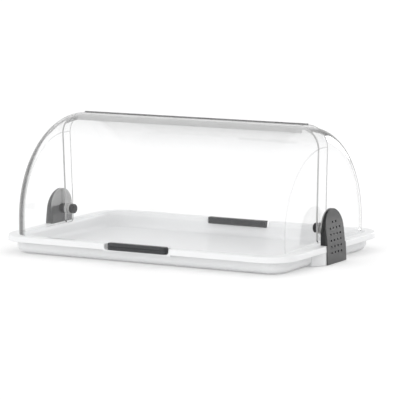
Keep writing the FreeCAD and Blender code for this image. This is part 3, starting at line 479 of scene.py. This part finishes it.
def finish_cover_faces(material, painted_reflection_colour):
    """Polish the outer face of the hinge covers, and paint a pale reflection on the upper part
    of the side towards the hood.
    """
    tree = material.node_tree
    shader = tree.nodes["Principled BSDF"]
    parts = place_parts(tree, object_coordinates(tree))
    beside = distance(tree, parts["X"])
    tree.links.new(ramp(tree, beside, COVER_FACE_BESIDE, COVER_GLOSS),
                   shader.inputs["Specular IOR Level"])
    # Painted reflection: the side towards the hood is paler in its upper part
    painted_reflection_mask = product(tree, inverse(tree, smooth_step(tree, beside, COVER_INSIDE_BESIDE)),
                     smooth_step(tree, parts["Z"], COVER_INSIDE_HEIGHTS))
    outer_colour = shader.inputs["Base Color"].links[0].from_socket
    tree.links.new(mix_colours(tree, painted_reflection_mask, outer_colour, tuple(painted_reflection_colour)),
                   shader.inputs["Base Color"])


def finish_nodes(names, material):
    """Give CAD nodes their material."""
    for name in names:
        for place in NODES[name].material_slots:
            place.material = material


def on_both_sides(piece):
    """The names of a piece of the right and the left hinge."""
    return [f"{side}_{piece}" for side in SIDES]


# The stage


def make_floor(look):
    """A wide pale floor that keeps the soft shadow and melts into a white backdrop."""
    mesh = bpy.data.meshes.new("floor")
    shape = bmesh.new()
    bmesh.ops.create_grid(shape, x_segments=1, y_segments=1, size=FLOOR_REACH)
    shape.to_mesh(mesh)
    shape.free()
    floor = bpy.data.objects.new("floor", mesh)
    bpy.context.scene.collection.objects.link(floor)
    material, tree, shader = new_material("pale_floor")
    slow = noise(tree, object_coordinates(tree), FLOOR_DRIFT, detail=2.0)
    tree.links.new(varied_colour(tree, slow, FLOOR_COLOUR, FLOOR_COLOUR_CHANGE),
                   shader.inputs["Base Color"])
    shader.inputs["Roughness"].default_value = 0.9
    shader.inputs["Specular IOR Level"].default_value = 0.0
    glow = tree.nodes.new("ShaderNodeEmission")
    glow.inputs["Color"].default_value = (*WHITE, 1.0)
    glow.inputs["Strength"].default_value = 1.0
    blend = tree.nodes.new("ShaderNodeMixShader")
    tree.links.new(product(tree, sight_rays(tree), look.backdrop), blend.inputs["Fac"])
    tree.links.new(shader.outputs["BSDF"], blend.inputs[1])
    tree.links.new(glow.outputs["Emission"], blend.inputs[2])
    tree.links.new(blend.outputs["Shader"], tree.nodes["Material Output"].inputs["Surface"])
    floor.data.materials.append(material)


def make_sky(look):
    """Even light from all round, and a white backdrop behind the bin."""
    world = bpy.data.worlds.new("studio")
    world.use_nodes = True
    tree = world.node_tree
    background = tree.nodes["Background"]
    background.inputs["Color"].default_value = (*WHITE, 1.0)
    tree.links.new(ramp(tree, sight_rays(tree), (0.0, 1.0), (look.sky, 1.0)),
                   background.inputs["Strength"])
    bpy.context.scene.world = world


def make_sun(name, strength, aim, spread_degrees, mirrored=False):
    """A soft far light that shines along the aim."""
    lamp = bpy.data.lights.new(name, "SUN")
    lamp.energy = strength
    lamp.angle = math.radians(spread_degrees)
    holder = bpy.data.objects.new(name, lamp)
    holder.rotation_euler = Vector(aim).to_track_quat("-Z", "Y").to_euler()
    holder.visible_glossy = mirrored
    holder.visible_transmission = False
    bpy.context.scene.collection.objects.link(holder)


def make_camera(look):
    """The camera at the photograph's place and angle."""
    turn, drop, roll = look.camera_turn, look.camera_drop, look.camera_roll
    level_ahead = Vector((-math.sin(turn), math.cos(turn), 0.0))
    ahead = math.cos(drop) * level_ahead - math.sin(drop) * Vector((0.0, 0.0, 1.0))
    level_right = Vector((math.cos(turn), math.sin(turn), 0.0))
    level_up = level_right.cross(ahead)
    right = math.cos(roll) * level_right + math.sin(roll) * level_up
    up = math.cos(roll) * level_up - math.sin(roll) * level_right
    lens = bpy.data.cameras.new("camera")
    lens.sensor_width = SENSOR_WIDTH
    lens.lens = SENSOR_WIDTH * look.focal_pixels / PHOTO_WIDTH
    lens.clip_end = CAMERA_SIGHT
    camera = bpy.data.objects.new("camera", lens)
    turned = Matrix((right, up, -ahead)).transposed()
    camera.matrix_world = Matrix.Translation(look.camera_place) @ turned.to_4x4()
    bpy.context.scene.collection.objects.link(camera)
    bpy.context.scene.camera = camera


# Operators, one for each group of pieces and one for the stage


class BREADBIN_OT_tray(bpy.types.Operator):
    """Finish the tray in satin white plastic"""
    bl_idname = "breadbin.tray"
    bl_label = "Tray"

    def execute(self, context):
        look = context.scene.bread_bin_tray
        material = plastic("white_tray_plastic", look.colour, look.roughness, look.grain,
                           depth=0.000012, change=0.008, edge=0.0006)
        finish_nodes(["base_tray"], material)
        return {"FINISHED"}


class BREADBIN_OT_leaves(bpy.types.Operator):
    """Finish the two leaves of the hood in clear plastic"""
    bl_idname = "breadbin.leaves"
    bl_label = "Hood leaves"

    def execute(self, context):
        look = context.scene.bread_bin_hood
        front = clear_plastic("clear_front_plastic", look, FRONT_LEAF, look.corner_shade)
        rear = clear_plastic("clear_rear_plastic", look, REAR_LEAF, look.rear_corner_shade)
        finish_nodes(["front_hood"], front)
        finish_nodes(["rear_hood"], rear)
        return {"FINISHED"}


class BREADBIN_OT_hinge_covers(bpy.types.Operator):
    """Finish the two arched hinge covers in fine-textured grey plastic"""
    bl_idname = "breadbin.hinge_covers"
    bl_label = "Hinge covers"

    def execute(self, context):
        look = context.scene.bread_bin_trim
        material = plastic("grey_cover_plastic", look.cover_colour, roughness=0.36,
                           grain=look.texture, depth=0.00005, change=0.05, edge=0.0007)
        finish_cover_faces(material, look.painted_reflection_colour)
        finish_nodes(on_both_sides("hinge_cover"), material)
        return {"FINISHED"}


class BREADBIN_OT_brackets(bpy.types.Operator):
    """Finish the hinge brackets in near-black plastic"""
    bl_idname = "breadbin.brackets"
    bl_label = "Hinge brackets"

    def execute(self, context):
        material = plastic("bracket_plastic", BRACKET_COLOUR, roughness=0.4,
                           grain=0.0012, depth=0.00003)
        finish_nodes(on_both_sides("hinge_bracket"), material)
        return {"FINISHED"}


class BREADBIN_OT_handles(bpy.types.Operator):
    """Finish the front handle and the rear grip in satin dark grey plastic"""
    bl_idname = "breadbin.handles"
    bl_label = "Handles"

    def execute(self, context):
        look = context.scene.bread_bin_trim
        material = plastic("handle_plastic", look.handle_colour, roughness=0.36,
                           grain=0.0009, depth=0.00002, edge=0.0006, gloss=0.35)
        finish_nodes(["front_handle", "rear_handle"], material)
        return {"FINISHED"}


class BREADBIN_OT_pivots(bpy.types.Operator):
    """Finish the clamp knobs, their inserts, the bushes and the washers"""
    bl_idname = "breadbin.pivots"
    bl_label = "Pivots"

    def execute(self, context):
        look = context.scene.bread_bin_trim
        knob = plastic("knob_plastic", look.knob_colour, roughness=0.32,
                       grain=0.0008, depth=0.00001, gloss=0.35)
        finish_nodes(on_both_sides("knob"), knob)
        brass = metal("turned_brass", BRASS_COLOUR, roughness=0.26, grain=0.0005, depth=0.00001)
        finish_nodes(on_both_sides("knob_insert"), brass)
        bush = nylon("bush_plastic", BUSH_COLOUR, clearness=0.35)
        finish_nodes(on_both_sides("pivot_bush"), bush)
        washer = nylon("washer_plastic", WASHER_COLOUR, clearness=0.55)
        for place in ("outer", "middle", "inner"):
            finish_nodes(on_both_sides(f"{place}_washer"), washer)
        return {"FINISHED"}


class BREADBIN_OT_fasteners(bpy.types.Operator):
    """Finish the screws and bolts in plain steel"""
    bl_idname = "breadbin.fasteners"
    bl_label = "Screws and bolts"

    def execute(self, context):
        steel = metal("plain_steel", STEEL_COLOUR, roughness=0.3, grain=0.0004, depth=0.000008)
        names = ["front_handle_screws", "rear_handle_screws"]
        names += on_both_sides("bracket_screws") + on_both_sides("pivot_bolt")
        finish_nodes(names, steel)
        return {"FINISHED"}


class BREADBIN_OT_feet(bpy.types.Operator):
    """Finish the four feet in matt rubber"""
    bl_idname = "breadbin.feet"
    bl_label = "Feet"

    def execute(self, context):
        rubber = plastic("foot_rubber", RUBBER_COLOUR, roughness=0.78,
                         grain=0.0006, depth=0.00004, edge=0.0005)
        finish_nodes(["rubber_feet"], rubber)
        return {"FINISHED"}


class BREADBIN_OT_stage(bpy.types.Operator):
    """Set up the pale floor, the soft studio light and the camera"""
    bl_idname = "breadbin.stage"
    bl_label = "Stage"

    def execute(self, context):
        look = context.scene.bread_bin_stage
        make_floor(look)
        make_sky(look)
        make_sun("key_light", look.key, aim=(0.35, 0.85, -0.6), spread_degrees=50.0)
        make_sun("side_light", look.fill, aim=(-1.0, 0.1, -0.5), spread_degrees=60.0)
        make_sun("rim_light", look.rim, aim=(-0.17, -0.98, -0.1), spread_degrees=25.0,
                 mirrored=True)
        make_sun("low_light", look.low, aim=(0.15, 1.0, -0.07), spread_degrees=50.0)
        make_camera(look)
        context.scene.view_settings.view_transform = "Standard"
        return {"FINISHED"}


class BREADBIN_PT_panel(bpy.types.Panel):
    """The steps of the finish, in order, and their settings"""
    bl_idname = "BREADBIN_PT_panel"
    bl_label = "Bread Bin"
    bl_space_type = "VIEW_3D"
    bl_region_type = "UI"
    bl_category = "Bread Bin"

    def draw(self, context):
        for operator in OPERATORS:
            self.layout.operator(operator.bl_idname)
        for name, group in GROUPS.items():
            column = self.layout.column()
            for field in group.__annotations__:
                column.prop(getattr(context.scene, name), field)


OPERATORS = (
    BREADBIN_OT_tray,
    BREADBIN_OT_leaves,
    BREADBIN_OT_hinge_covers,
    BREADBIN_OT_brackets,
    BREADBIN_OT_handles,
    BREADBIN_OT_pivots,
    BREADBIN_OT_fasteners,
    BREADBIN_OT_feet,
    BREADBIN_OT_stage,
)
GROUPS = {
    "bread_bin_tray": TrayLook,
    "bread_bin_hood": HoodLook,
    "bread_bin_trim": TrimLook,
    "bread_bin_stage": StageLook,
}


def register():
    for kind in (*GROUPS.values(), *OPERATORS, BREADBIN_PT_panel):
        bpy.utils.register_class(kind)
    for name, group in GROUPS.items():
        setattr(bpy.types.Scene, name, PointerProperty(type=group))


def unregister():
    for name in GROUPS:
        delattr(bpy.types.Scene, name)
    for kind in reversed((*GROUPS.values(), *OPERATORS, BREADBIN_PT_panel)):
        bpy.utils.unregister_class(kind)


def main():
    register()
    bpy.ops.breadbin.tray()
    bpy.ops.breadbin.leaves()
    bpy.ops.breadbin.hinge_covers()
    bpy.ops.breadbin.brackets()
    bpy.ops.breadbin.handles()
    bpy.ops.breadbin.pivots()
    bpy.ops.breadbin.fasteners()
    bpy.ops.breadbin.feet()
    bpy.ops.breadbin.stage()


if __name__ == "__main__":
    main()
